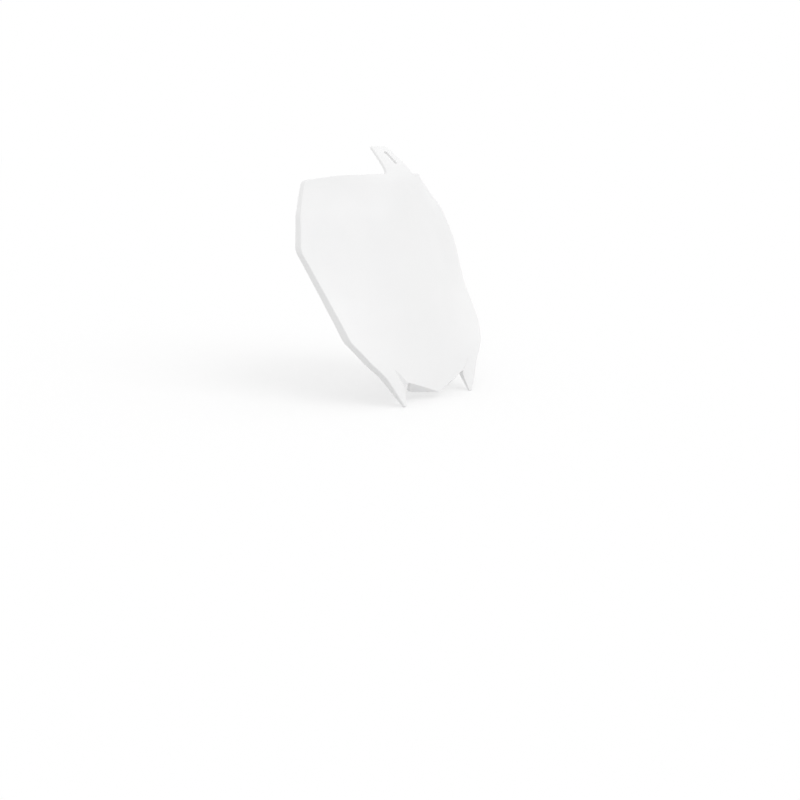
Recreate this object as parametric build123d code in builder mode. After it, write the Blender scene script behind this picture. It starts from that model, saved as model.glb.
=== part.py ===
"""Front number board of an off-road racing motorcycle: one thin moulded shell.

The origin is the middle of the strap slot, on the tab's front. The board faces -Y, +X runs across it
and +Z is up, with the board at the rake at which it is carried. All sizes are in millimetres.
"""
import os
from math import cos, radians, sin, sqrt, tan

from build123d import *

os.makedirs("parts", exist_ok=True)

# Wall and rim: the wall's direction, in degrees below level, lies between the face's normal and the tab's
wall = 2.6
wall_direction = 33.0
rim_wall = 2.2
rim_depth_at_slot = 6.0
rim_growth_angle = 1.8
crease_radius = 1.2

# Lean of the face and of the strap tab, from the vertical
face_rake = 12.4
tab_lean = 54.5
bend_height = -13.9
bend_softness = 8.0

# Strap slot, along the tab
slot_length = 21.0
slot_width = 5.0

# Heights of the outline's corners, from the middle of the strap slot
tab_top_height = 11.5
tab_base_height = -16.5
top_edge_height = -17.8
top_corner_height = -23.0
shoulder_height = -57.0
widest_height = -92.0
waist_height = -140.0
lower_corner_height = -181.0
ear_root_height = -203.0
ear_waist_height = -219.0
ear_tip_height = -250.0
notch_height = -227.5
lip_corner_height = -240.0
chin_height = -243.0

# Half widths of the outline at those corners
tab_top_half_width = 11.5
tab_base_half_width = 19.5
top_edge_half_width = 62.0
top_corner_half_width = 88.5
shoulder_half_width = 109.0
widest_half_width = 119.0
waist_half_width = 107.0
lower_corner_half_width = 101.5
ear_root_half_width = 87.5
ear_waist_half_width = 72.5
ear_tip_outer = 55.0
ear_tip_width = 4.0
notch_outer = 46.0
notch_width = 5.0
lip_corner_half_width = 33.0

# Corner radii of the outline
tab_top_radius = 4.0
tab_base_radius = 3.0
top_edge_radius = 60.0
top_corner_radius = 9.0
shoulder_radius = 35.0
widest_radius = 18.0
waist_radius = 70.0
lower_corner_radius = 14.0
ear_radius = 40.0
ear_tip_radius = 2.0
notch_radius = 2.0
lip_corner_radius = 8.0

# Face sections: how far they run past the widest half width, and how far their ends lie behind their noses
section_overrun = 9.0
nose_sharpness = 3.0
section_count = 36
tab_sweep = 98.0
top_sweep = 96.0
upper_sweep = 80.0
shoulder_sweep = 65.5
widest_sweep = 54.0
waist_sweep = 42.0
flank_sweep = 31.5
lower_sweep = 21.0
ear_root_sweep = 8.5
notch_sweep = 3.5
foot_sweep = 2.0

# Lip under the chin, bent back from a crease that rises to the notches
lip_turn = 45.0

# Ears: solid lugs that taper to their tips, each with an inner side that turns back from a ridge and a step
ear_ridge_height = -210.5
ear_ridge_half_width = 60.0
ear_ridge_turn = 17.0
ear_step_angle = 47.0
ear_step_turn = 35.0
ear_hollow_gap = 2.5
ear_taper_start = 14.0
ear_depth_at_tip = 3.2

# How far the solids that are cut or cut away run past the outline
overrun = 18.0
body_back = 160.0

ear_tip_inner = ear_tip_outer - ear_tip_width
notch_inner = notch_outer - notch_width
section_half_span = widest_half_width + section_overrun
body_top_height = tab_top_height + overrun
body_foot_height = ear_tip_height - overrun
section_sweeps = (
    (body_top_height, tab_sweep),
    (bend_height, tab_sweep),
    (top_corner_height, top_sweep),
    ((top_corner_height + shoulder_height) / 2, upper_sweep),
    (shoulder_height, shoulder_sweep),
    (widest_height, widest_sweep),
    (waist_height, waist_sweep),
    ((waist_height + lower_corner_height) / 2, flank_sweep),
    (lower_corner_height, lower_sweep),
    (ear_root_height, ear_root_sweep),
    (notch_height, notch_sweep),
    (body_foot_height, foot_sweep),
)


def bend_rise(height):
    """Height above the bend, which fades out softly below it."""
    above = height - bend_height
    return (above + sqrt(above**2 + bend_softness**2)) / 2


def nose_depth(height):
    """Depth of the middle line at a height: the face's rake below, and the tab's lean above the bend."""
    tab_slope = tan(radians(tab_lean)) - tan(radians(face_rake))
    return height * tan(radians(face_rake)) + tab_slope * (bend_rise(height) - bend_rise(0))


def sweep_slope(index):
    """Slope of the sweep at a named height, from the heights on both sides of it."""
    high, high_sweep = section_sweeps[max(index - 1, 0)]
    low, low_sweep = section_sweeps[min(index + 1, len(section_sweeps) - 1)]
    return (high_sweep - low_sweep) / (high - low)


def sweep_at(height):
    """Sweep of the section at any height, on a smooth curve through the named heights."""
    index = 0
    while index < len(section_sweeps) - 2 and height < section_sweeps[index + 1][0]:
        index += 1
    high, high_sweep = section_sweeps[index]
    low, low_sweep = section_sweeps[index + 1]
    span = high - low
    share = (height - low) / span
    rise = high_sweep - low_sweep
    high_slope = sweep_slope(index) * span
    low_slope = sweep_slope(index + 1) * span
    square_term = (3 * rise - 2 * low_slope - high_slope) * share**2
    cubic_term = (low_slope + high_slope - 2 * rise) * share**3
    return low_sweep + low_slope * share + square_term + cubic_term


def face_point(across, height):
    """A point on the face: each section is a hyperbola that runs from the nose to its two ends."""
    reach = sqrt(section_half_span**2 + (nose_sharpness**2 - 1) * across**2) - section_half_span
    share = reach / (section_half_span * (nose_sharpness - 1))
    return Vector(across, nose_depth(height) + sweep_at(height) * share, height)


# A solid whose front is the face's own surface, carried past the outline
section_spacing = (body_top_height - body_foot_height) / (section_count - 1)
with BuildPart() as face_body:
    for section in range(section_count):
        height = body_top_height - section * section_spacing
        with BuildSketch(Plane.XY.offset(height)):
            with BuildLine():
                end_depth = nose_depth(height) + sweep_at(height)
                apex = nose_depth(height) - sweep_at(height) / nose_sharpness
                front = Bezier(
                    (-section_half_span, end_depth),
                    (0, apex),
                    (section_half_span, end_depth),
                    weights=[1, nose_sharpness, 1],
                )
                Polyline(
                    front @ 1,
                    (section_half_span, body_back),
                    (-section_half_span, body_back),
                    front @ 0,
                )
            make_face()
    loft()

# The ears' two round corners share the side between them, so its length less a wall limits their radius
ear_side = Vector(ear_root_half_width - ear_waist_half_width, ear_root_height - ear_waist_height)
side_above = Vector(lower_corner_half_width - ear_root_half_width, lower_corner_height - ear_root_height)
side_below = Vector(ear_waist_half_width - ear_tip_outer, ear_waist_height - ear_tip_height)
ear_reach = sum(tan(radians(ear_side.get_angle(side) / 2)) for side in (side_above, side_below))
ear_round = min(ear_radius, (ear_side.length - wall) / ear_reach)

# The outline, seen from the front: one half from the tab's top to the chin, and its mirror image
side_corners = [
    (0, tab_top_height),
    (tab_top_half_width, tab_top_height),
    (tab_base_half_width, tab_base_height),
    (top_edge_half_width, top_edge_height),
    (top_corner_half_width, top_corner_height),
    (shoulder_half_width, shoulder_height),
    (widest_half_width, widest_height),
    (waist_half_width, waist_height),
    (lower_corner_half_width, lower_corner_height),
    (ear_root_half_width, ear_root_height),
    (ear_waist_half_width, ear_waist_height),
]
side_radii = [
    tab_top_radius,
    tab_base_radius,
    top_edge_radius,
    top_corner_radius,
    shoulder_radius,
    widest_radius,
    waist_radius,
    lower_corner_radius,
    ear_round,
    ear_round,
]
foot_corners = [
    (ear_tip_outer, ear_tip_height),
    (ear_tip_inner, ear_tip_height),
    (notch_outer, notch_height),
    (notch_inner, notch_height),
    (lip_corner_half_width, lip_corner_height),
    (0, chin_height),
]
foot_radii = [ear_tip_radius, ear_tip_radius, notch_radius, notch_radius, lip_corner_radius]
with BuildSketch(Plane.XZ) as outline:
    with BuildLine():
        FilletPolyline(*side_corners, *foot_corners, radius=side_radii + foot_radii)
        mirror(about=Plane.YZ)
    make_face()

# A plain shield with the same sides, whose edge is rounded before its foot is cut to the outline
shield_drop = overrun / 2
ear_lean = (ear_waist_half_width - ear_tip_outer) / (ear_waist_height - ear_tip_height)
shield_foot_height = ear_tip_height - shield_drop
shield_foot = [(ear_tip_outer - ear_lean * shield_drop, shield_foot_height), (0, shield_foot_height)]
with BuildSketch(Plane.XZ) as shield:
    with BuildLine():
        FilletPolyline(*side_corners, *shield_foot, radius=side_radii + [lip_corner_radius])
        mirror(about=Plane.YZ)
    make_face()

# What lies below the ears, the notches and the lip, and touches the shield's sides only at the ears' tips
foot_start = (ear_waist_half_width + shield_drop, ear_waist_height)
with BuildPart() as foot_cutter:
    with BuildSketch(Plane.XZ):
        with BuildLine():
            FilletPolyline(foot_start, *foot_corners, radius=foot_radii)
            Polyline(foot_start, (foot_start[0], body_foot_height), (0, body_foot_height))
            mirror(about=Plane.YZ)
        make_face()
    extrude(amount=body_back, both=True)

# The inside outline: the rim's wall stands on the sides and the ears, the top edge and the lip stay open
top_open_half_width = top_corner_half_width - top_corner_radius + rim_wall
top_open_rise = tab_top_height + overrun - shoulder_height
lip_open_drop = notch_height - ear_tip_height + overrun
ear_start = (notch_outer + notch_inner) / 2
ear_hollow_foot = ear_ridge_height + ear_hollow_gap
ear_hollow_drop = ear_hollow_foot - ear_tip_height + overrun
with BuildSketch(Plane.XZ) as inside_outline:
    add(outline.sketch)
    offset(amount=-rim_wall, kind=Kind.INTERSECTION, mode=Mode.REPLACE)
    with Locations((0, shoulder_height)):
        Rectangle(2 * top_open_half_width, top_open_rise, align=(Align.CENTER, Align.MIN))
    with Locations((0, notch_height + overrun)):
        Rectangle(2 * ear_start, lip_open_drop + overrun, align=(Align.CENTER, Align.MAX))
    with Locations((ear_start, ear_hollow_foot), (-ear_start - widest_half_width, ear_hollow_foot)):
        Rectangle(widest_half_width, ear_hollow_drop, align=(Align.MIN, Align.MAX), mode=Mode.SUBTRACT)

# Plane of the bent lip on the +X side, through a crease that rises from the chin to the notch
chin_point = face_point(0, chin_height)
lip_crease = face_point(notch_inner, notch_height) - chin_point
lip_forward = -cos(radians(lip_turn))
lip_down = -sin(radians(lip_turn))
lip_across = -(lip_forward * lip_crease.Y + lip_down * lip_crease.Z) / lip_crease.X
lip_plane = Plane(chin_point, x_dir=lip_crease, z_dir=(lip_across, lip_forward, lip_down))


def lip_cutter(inset):
    """What lies in front of the bent lip between the notches, sunk by an inset for the hollow."""
    with BuildPart() as cutter:
        with BuildSketch(Plane.XZ):
            with Locations((0, notch_height + overrun)):
                Rectangle(2 * ear_start, lip_open_drop + overrun, align=(Align.CENTER, Align.MAX))
        extrude(amount=body_back, both=True)
        with BuildSketch(lip_plane.offset(-inset)):
            Rectangle(2 * body_back, 2 * body_back)
        extrude(amount=body_back, mode=Mode.INTERSECT)
        mirror(about=Plane.YZ)
    return cutter.part


# The rim's back edge follows the face and grows deeper towards the ears, which then taper to their tips
rim_back = Location((0, rim_depth_at_slot, 0), (rim_growth_angle, 0, 0))
taper_share = ear_taper_start / (lower_corner_height - ear_root_height)
taper_half_width = lower_corner_half_width - taper_share * (lower_corner_half_width - ear_root_half_width)
taper_face = face_point(taper_half_width, lower_corner_height - ear_taper_start)
taper_start = (rim_back * Location(taper_face)).position
tip_back = face_point(ear_tip_outer, ear_tip_height).Y + ear_depth_at_tip
with BuildPart() as ear_taper:
    with BuildSketch(Plane.YZ.offset(ear_start)):
        with BuildLine():
            Polyline(
                (taper_start.Y, taper_start.Z),
                (tip_back, ear_tip_height),
                (tip_back, body_foot_height),
                (body_back, body_foot_height),
                (body_back, taper_start.Z),
                close=True,
            )
        make_face()
    extrude(amount=widest_half_width)
    mirror(about=Plane.YZ)

# What lies in front of the ears' inner sides, which turn back from a ridge and from a sloping step above
ridge_top = face_point(ear_ridge_half_width, ear_ridge_height)
ridge = face_point(ear_tip_outer, ear_tip_height) - ridge_top
step_fall = (ear_ridge_half_width - ear_start) * tan(radians(ear_step_angle))
step = face_point(ear_start, ear_ridge_height - step_fall) - ridge_top
ear_front = step.cross(ridge).normalized()
inward_from_ridge = ridge.cross(ear_front).normalized()
down_from_step = ear_front.cross(step).normalized()
ear_bends = ((ridge, inward_from_ridge, ear_ridge_turn), (step, down_from_step, ear_step_turn))
with BuildPart() as ear_cutter:
    with BuildSketch(Plane.XZ):
        with Locations((ear_start, ear_ridge_height)):
            Rectangle(widest_half_width, ear_ridge_height - body_foot_height, align=(Align.MIN, Align.MAX))
    extrude(amount=body_back, both=True)
    for crease, side, turn in ear_bends:
        bend_front = ear_front * cos(radians(turn)) + side * sin(radians(turn))
        with BuildSketch(Plane(ridge_top, x_dir=crease, z_dir=bend_front)):
            Rectangle(2 * body_back, 2 * body_back)
        extrude(amount=body_back, mode=Mode.INTERSECT)
    mirror(about=Plane.YZ)

# The hollow behind the face
wall_shift = Location((0, wall * cos(radians(wall_direction)), -wall * sin(radians(wall_direction))))
with BuildPart() as hollow:
    add(face_body.part.moved(wall_shift))
    extrude(inside_outline.sketch, amount=body_back, both=True, mode=Mode.INTERSECT)
    add(lip_cutter(wall), mode=Mode.SUBTRACT)

# The board: the outline cut from the face, hollowed, with the strap slot through the tab
tab_rise = Vector(0, sin(radians(tab_lean)), cos(radians(tab_lean)))
tab_front = Vector(0, -cos(radians(tab_lean)), sin(radians(tab_lean)))
with BuildPart() as number_board:
    add(face_body.part)
    extrude(shield.sketch, amount=body_back, both=True, mode=Mode.INTERSECT)
    add(face_body.part.moved(rim_back), mode=Mode.SUBTRACT)
    add(ear_taper.part, mode=Mode.SUBTRACT)
    front_faces = number_board.faces().filter_by(lambda face: face.normal_at().Y < 0)
    front_face = front_faces.sort_by(SortBy.AREA)[-1]
    fillet(front_face.edges(), radius=min(crease_radius, wall / 2))
    add(foot_cutter.part, mode=Mode.SUBTRACT)
    add(lip_cutter(0), mode=Mode.SUBTRACT)
    add(ear_cutter.part, mode=Mode.SUBTRACT)
    add(hollow.part, mode=Mode.SUBTRACT)
    with BuildSketch(Plane((0, 0, 0), x_dir=tab_rise, z_dir=tab_front)):
        SlotOverall(slot_length, slot_width)
    extrude(amount=rim_depth_at_slot, both=True, mode=Mode.SUBTRACT)

number_board.part.label = "number_board"
export_step(number_board.part, "parts/number_board.step")
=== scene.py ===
# %% [markdown]
# # A racing number board
# The board is one thin shell of white moulded plastic. Its shape is already exact in the packed
# model, so this lesson keeps that shape and spends its effort on three other things: the photograph's
# viewpoint, a plastic that looks moulded rather than painted, and a soft studio to see it in. Lengths
# are in metres, as in the model, and angles in degrees.

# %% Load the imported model
from math import atan, degrees, pi, radians, sin

import bpy
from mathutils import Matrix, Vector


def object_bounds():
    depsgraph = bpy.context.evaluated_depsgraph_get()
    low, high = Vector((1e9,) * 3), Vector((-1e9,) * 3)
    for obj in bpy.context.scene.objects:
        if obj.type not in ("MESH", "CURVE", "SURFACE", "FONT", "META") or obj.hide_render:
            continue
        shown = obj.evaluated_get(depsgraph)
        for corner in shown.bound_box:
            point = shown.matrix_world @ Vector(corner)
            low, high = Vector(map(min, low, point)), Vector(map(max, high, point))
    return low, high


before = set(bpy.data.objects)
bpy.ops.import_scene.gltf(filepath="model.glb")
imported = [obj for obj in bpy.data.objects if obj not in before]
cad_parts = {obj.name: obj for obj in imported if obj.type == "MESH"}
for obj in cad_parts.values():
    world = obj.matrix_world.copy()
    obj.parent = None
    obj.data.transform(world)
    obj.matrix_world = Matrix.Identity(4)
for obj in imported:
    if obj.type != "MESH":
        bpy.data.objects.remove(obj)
cad_low, cad_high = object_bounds()
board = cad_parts["number_board"]
print("board size in mm:", [round(1000 * side, 1) for side in cad_high - cad_low])
print("board triangles:", len(board.data.polygons))

# %% [markdown]
# ## The viewpoint
# A photograph's perspective fixes where the camera stood. The picture is 800 pixels wide, and the board
# shrinks towards its far side as it does for a focal length of 1050 of those pixels. The horizon would
# lie 248 pixels above the picture's middle, which gives the tilt. The camera stands well to one side, so
# it sees the face and one rim. Depth of field stays off, so every view is sharp.

# %% Place the camera
picture_pixels = 800
focal_pixels = 1050
tilt_pixels = 248
sensor_width = 36.0
camera_turn = -47.0
camera_place = (-0.8264, -0.7844, 0.0056)

camera_data = bpy.data.cameras.new("viewpoint")
camera_data.sensor_width = sensor_width
camera_data.lens = sensor_width * focal_pixels / picture_pixels
camera_tilt = degrees(atan(tilt_pixels / focal_pixels))
camera = bpy.data.objects.new("viewpoint", camera_data)
camera.location = camera_place
camera.rotation_euler = (radians(90 - camera_tilt), 0, radians(camera_turn))
bpy.context.collection.objects.link(camera)
bpy.context.scene.camera = camera
print("lens", round(camera_data.lens, 2), "mm, looking down", round(camera_tilt, 1), "degrees")

# %% [markdown]
# ## The plastic
# The real board is injection-moulded polypropylene, left in its own white. Close up, such plastic is
# never one flat colour. The mould's etched face leaves a fine grain, cooling leaves a very shallow
# ripple, the gloss wanders a little, and handling rubs the edges smooth and drags faint scuffs along
# the face. Each of these is a small procedural pattern in the board's own coordinates, so it stays on
# the board from every side. The alternative, a painted texture, would need an image and a UV map.

# %% Helpers for the plastic's nodes
plastic = bpy.data.materials.new("white_moulded_plastic")
plastic.use_nodes = True
nodes = plastic.node_tree.nodes
links = plastic.node_tree.links
shader = nodes["Principled BSDF"]
places = nodes.new("ShaderNodeTexCoord")
whole_range = (0.0, 1.0)


def noise(per_metre, detail, stretch=(1, 1, 1)):
    """A noise pattern with this many features in a metre, stretched along the board's axes."""
    mapping = nodes.new("ShaderNodeMapping")
    mapping.inputs["Scale"].default_value = stretch
    links.new(places.outputs["Object"], mapping.inputs["Vector"])
    pattern = nodes.new("ShaderNodeTexNoise")
    pattern.inputs["Scale"].default_value = per_metre
    pattern.inputs["Detail"].default_value = detail
    links.new(mapping.outputs["Vector"], pattern.inputs["Vector"])
    return pattern.outputs["Fac"]


def spread(value, from_range, to_range):
    """Carries one range of values over to another, without leaving it."""
    ranged = nodes.new("ShaderNodeMapRange")
    for socket, limit in zip(("From Min", "From Max", "To Min", "To Max"), from_range + to_range):
        ranged.inputs[socket].default_value = limit
    links.new(value, ranged.inputs["Value"])
    return ranged.outputs["Result"]


def mix_colours(share, first, second):
    """A colour between two others. Each may be a plain colour or another node's output."""
    mix = nodes.new("ShaderNodeMix")
    mix.data_type = "RGBA"
    links.new(share, mix.inputs["Factor"])
    for socket, colour in ((mix.inputs["A"], first), (mix.inputs["B"], second)):
        if isinstance(colour, tuple):
            socket.default_value = colour
        else:
            links.new(colour, socket)
    return mix.outputs["Result"]


print("the plastic starts from", shader.name)

# %% [markdown]
# ### Worn edges
# The model already rounds the face's edge, so no shading trick is needed there. A Bevel node looks a
# little way round each point and returns a rounded normal. Where that normal differs from the true one,
# the point lies on an edge. Here it serves only as a mask, for the rubbed and slightly brighter plastic.

# %% Find the edges
edge_width = 0.0008
edge_samples = 6
flat_cosine = 0.998
edge_cosine = 0.9
rounded = nodes.new("ShaderNodeBevel")
rounded.samples = edge_samples
rounded.inputs["Radius"].default_value = edge_width
geometry = nodes.new("ShaderNodeNewGeometry")
turn = nodes.new("ShaderNodeVectorMath")
turn.operation = "DOT_PRODUCT"
links.new(rounded.outputs["Normal"], turn.inputs[0])
links.new(geometry.outputs["Normal"], turn.inputs[1])
edges = spread(turn.outputs["Value"], (flat_cosine, edge_cosine), whole_range)
print("edges are rubbed over", 1000 * edge_width, "mm")

# %% [markdown]
# ### Colour
# Two whites, a hair apart, drift into each other over the width of a hand. One flat white would be
# simpler, but a large plain face then looks like paper.

# %% Colour
clean_white = (0.905, 0.905, 0.905, 1.0)
dull_white = (0.885, 0.885, 0.887, 1.0)
rubbed_white = (0.93, 0.93, 0.93, 1.0)
drifts_per_metre = 9.0
drift_detail = 3.0
drift_range = (0.35, 0.65)
drift = spread(noise(drifts_per_metre, drift_detail), drift_range, whole_range)
moulded_white = mix_colours(drift, clean_white, dull_white)
links.new(mix_colours(edges, moulded_white, rubbed_white), shader.inputs["Base Color"])
print("the white drifts between", clean_white[0], "and", dull_white[0])

# %% [markdown]
# ### Gloss
# The sheen wanders in patches a few centimetres across. Long thin noise, stretched along the direction
# that a hand or a cloth wipes, becomes the scuffs that dull it further.

# %% Gloss
sheen_roughness = (0.36, 0.46)
sheen_per_metre = 38.0
sheen_detail = 4.0
sheen_range = (0.3, 0.7)
scuff_roughness = (0.0, 0.12)
scuffs_per_metre = 70.0
scuff_detail = 6.0
scuff_stretch = (1.0, 1.0, 0.12)
scuff_range = (0.56, 0.74)
sheen = spread(noise(sheen_per_metre, sheen_detail), sheen_range, sheen_roughness)
scuffs = spread(noise(scuffs_per_metre, scuff_detail, scuff_stretch), scuff_range, scuff_roughness)
gloss = nodes.new("ShaderNodeMath")
gloss.operation = "ADD"
links.new(sheen, gloss.inputs[0])
links.new(scuffs, gloss.inputs[1])
links.new(gloss.outputs["Value"], shader.inputs["Roughness"])
print("roughness runs from", sheen_roughness[0], "to", round(sheen_roughness[1] + scuff_roughness[1], 2))

# %% [markdown]
# ### Depth
# Light sinks a little way into polypropylene before it comes back out, which softens its shadows and
# its edges. Subsurface scattering does the same. Its share stays small, because this white is opaque,
# and red, green and blue reach equally far, so the white stays neutral.

# %% Depth
plastic_index = 1.49
scatter_share = 0.12
scatter_reach = (1.0, 1.0, 1.0)
scatter_depth = 0.0015
shader.inputs["IOR"].default_value = plastic_index
shader.inputs["Subsurface Weight"].default_value = scatter_share
shader.inputs["Subsurface Radius"].default_value = scatter_reach
shader.inputs["Subsurface Scale"].default_value = scatter_depth
print("light sinks", 1000 * scatter_depth, "mm into the plastic")

# %% [markdown]
# ### Grain and ripple
# Two bumps are chained: a fine one for the mould's etched grain, about half a millimetre from crest to
# crest, and a broad shallow one for the ripple that cooling leaves. Both are far too shallow to model.

# %% Grain and ripple
grains_per_metre = 1900.0
grain_detail = 3.0
grain_strength = 0.22
grain_height = 0.00006
ripples_per_metre = 55.0
ripple_detail = 2.0
ripple_strength = 0.25
ripple_height = 0.0004


def bump(pattern, strength, height):
    """Tilts the surface as a pattern of this height would."""
    bumped = nodes.new("ShaderNodeBump")
    bumped.inputs["Strength"].default_value = strength
    bumped.inputs["Distance"].default_value = height
    links.new(pattern, bumped.inputs["Height"])
    return bumped


grain = bump(noise(grains_per_metre, grain_detail), grain_strength, grain_height)
ripple = bump(noise(ripples_per_metre, ripple_detail), ripple_strength, ripple_height)
links.new(grain.outputs["Normal"], ripple.inputs["Normal"])
links.new(ripple.outputs["Normal"], shader.inputs["Normal"])
print("grain", round(1000 * grain_height, 2), "mm high, ripple", round(1000 * ripple_height, 2), "mm high")

# %% [markdown]
# ### Dress the board
# A new mesh over the old one could only be less exact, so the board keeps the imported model's mesh and
# gets the finished plastic in its slot.

# %% Dress the board
for slot in board.material_slots:
    slot.material = plastic
print("slots with the plastic:", len(board.material_slots))

# %% [markdown]
# ## The studio
# White things are hard to light: too much, and the shape drowns. A pale floor and an even sky do most
# of the work here, and a broad soft lamp, well up in front of the board, brightens both halves of its
# face alike. The rims look sideways and the lip looks down, so the lamp hardly reaches them and they
# read as edges.
#
# The background should still be pure white. More light would wash out the board, so only the rays that
# see the floor and the sky are told that they are white. The rays that light the board know nothing of it.

# %% Tell sight from light
seeing_rays = ("Is Camera Ray", "Is Glossy Ray", "Is Transmission Ray")


def sight(tree):
    """One for a ray that sees a surface, straight or by reflection, and zero for one that only lights."""
    path = tree.nodes.new("ShaderNodeLightPath")
    first_ray, *other_rays = seeing_rays
    seen = path.outputs[first_ray]
    for ray in other_rays:
        either = tree.nodes.new("ShaderNodeMath")
        either.operation = "MAXIMUM"
        tree.links.new(seen, either.inputs[0])
        tree.links.new(path.outputs[ray], either.inputs[1])
        seen = either.outputs["Value"]
    return seen


print("kinds of ray that see:", len(seeing_rays))

# %% [markdown]
# ### Sky
# White walls and a white ceiling throw light back from all round. An even white world does the same,
# with no wall to build and none to block a view. It has two backgrounds, one that lights and one that
# is seen.

# %% Sky
white = (1.0, 1.0, 1.0, 1.0)
sky_light = 0.9
sky = bpy.data.worlds.new("even_sky")
bpy.context.scene.world = sky
sky.use_nodes = True
sky_nodes = sky.node_tree.nodes
sky_links = sky.node_tree.links
lighting = sky_nodes["Background"]
lighting.inputs["Color"].default_value = white
lighting.inputs["Strength"].default_value = sky_light
backdrop = sky_nodes.new("ShaderNodeBackground")
backdrop.inputs["Color"].default_value = white
choice = sky_nodes.new("ShaderNodeMixShader")
sky_links.new(sight(sky.node_tree), choice.inputs["Fac"])
sky_links.new(lighting.outputs["Background"], choice.inputs[1])
sky_links.new(backdrop.outputs["Background"], choice.inputs[2])
sky_links.new(choice.outputs["Shader"], sky_nodes["World Output"].inputs["Surface"])
print("the sky looks white and lights at", sky_light)

# %% [markdown]
# ### Lamp
# In a studio this would be one large soft box. A sun lamp with a wide angle gives the same soft light
# and, unlike an area lamp, is equally bright everywhere, so it needs a direction but no place.

# %% Lamp
lamp_light = 0.5
lamp_height = 40.0
lamp_spread = 40.0
lamp_data = bpy.data.lights.new("soft_lamp", "SUN")
lamp_data.energy = lamp_light
lamp_data.angle = radians(lamp_spread)
lamp = bpy.data.objects.new("soft_lamp", lamp_data)
lamp.rotation_euler = (radians(90.0 - lamp_height), 0, 0)
bpy.context.collection.objects.link(lamp)
print("lamp", lamp_height, "degrees up,", lamp_spread, "degrees across")

# %% [markdown]
# ### Floor
# The board stands over a sheet of pale paper, wider than any view. Its grey is chosen for the light that
# it throws up at the lip and the rims. A glow that only sight meets tops the lit paper up to white. It
# is added to the light and doesn't cover it, so the board's shadow still shows.

# %% Floor
floor_gap = 0.0005
floor_size = 60
floor_tone = 0.74
level_floor_light = sky_light + lamp_light * sin(radians(lamp_height)) / pi
bpy.ops.mesh.primitive_plane_add(size=floor_size, location=(0, 0, cad_low.z - floor_gap))
floor = bpy.context.object
floor.name = "floor"
paper = bpy.data.materials.new("pale_floor")
paper.use_nodes = True
paper_nodes = paper.node_tree.nodes
paper_links = paper.node_tree.links
paper_shader = paper_nodes["Principled BSDF"]
paper_shader.inputs["Base Color"].default_value = (floor_tone, floor_tone, floor_tone, 1.0)
paper_shader.inputs["Specular IOR Level"].default_value = 0.0
paper_shader.inputs["Emission Color"].default_value = white
top_up = paper_nodes.new("ShaderNodeMath")
top_up.operation = "MULTIPLY"
top_up.inputs[1].default_value = 1.0 - floor_tone * level_floor_light
paper_links.new(sight(paper.node_tree), top_up.inputs[0])
paper_links.new(top_up.outputs["Value"], paper_shader.inputs["Emission Strength"])
floor.data.materials.append(paper)
print("floor at", round(floor.location.z, 4), "m, topped up by", round(top_up.inputs[1].default_value, 2))

# %% [markdown]
# ## Finish
# Standard is the plain view transform: a colour leaves the picture as it was lit.

# %% Finish
bpy.context.scene.view_settings.view_transform = "Standard"
